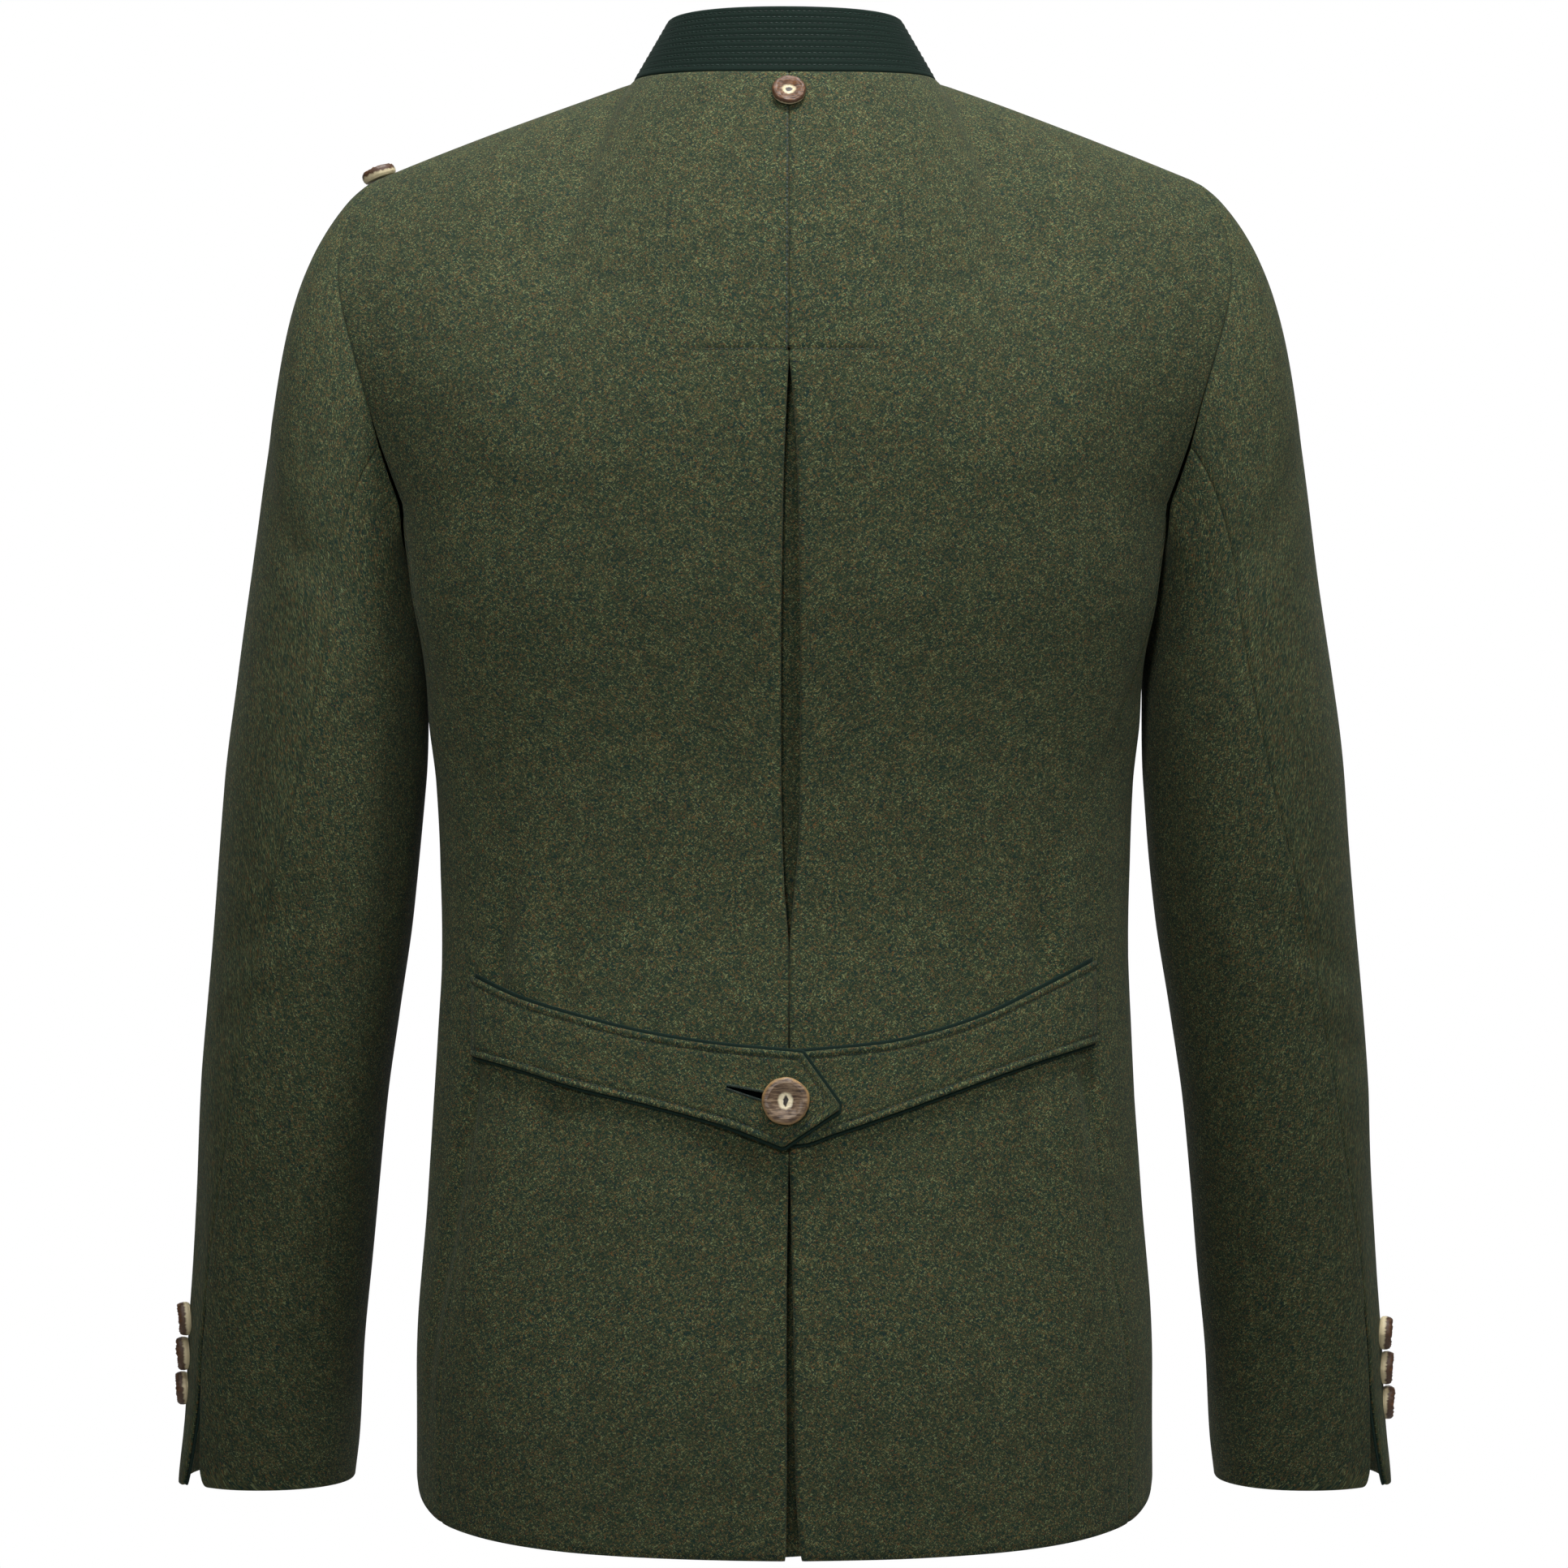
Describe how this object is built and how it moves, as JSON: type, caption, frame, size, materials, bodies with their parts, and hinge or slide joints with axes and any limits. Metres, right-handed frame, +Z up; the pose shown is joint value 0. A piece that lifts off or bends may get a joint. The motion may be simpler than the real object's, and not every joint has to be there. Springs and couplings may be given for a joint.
{
  "type": "jacket",
  "caption": "Hip-length loden wool jacket with a quilted stand collar, two-piece sleeves with slit cuffs, an inverted back pleat, a buttoned back belt, a vent and horn buttons.",
  "frame": {"origin": "in the neck opening, at the middle of the line between the two side neck points", "axes": "+Z up, +Y towards the jacket's back, +X towards the wearer's left, so the wearer looks along -Y"},
  "size_m": [0.6273, 0.2837, 0.7553],
  "materials": {
    "loden": "felted, brushed wool, olive green, mottled",
    "green_felt": "dense felt cloth, bottle green",
    "horn": null
  },
  "bodies": {
    "root": {"back_left": "loden", "back_right": "loden", "front_left": "loden", "front_right": "loden", "pleat_underlay": "loden", "top_sleeve_left": "loden", "top_sleeve_right": "loden", "under_sleeve_left": "loden", "under_sleeve_right": "loden", "belt_left": "loden", "belt_right": "loden", "collar": "green_felt", "belt_left_backing": "green_felt", "belt_right_backing": "green_felt", "cuff_facing_left": "green_felt", "cuff_facing_right": "green_felt", "neck_button": "horn", "belt_button": "horn", "shoulder_button": "horn", "cuff_button_left_1": "horn", "cuff_button_left_2": "horn", "cuff_button_left_3": "horn", "cuff_button_right_1": "horn", "cuff_button_right_2": "horn", "cuff_button_right_3": "horn", "front_button_1": "horn", "front_button_2": "horn", "front_button_3": "horn", "front_button_4": "horn", "front_button_5": "horn"}
  },
  "joints": []
}
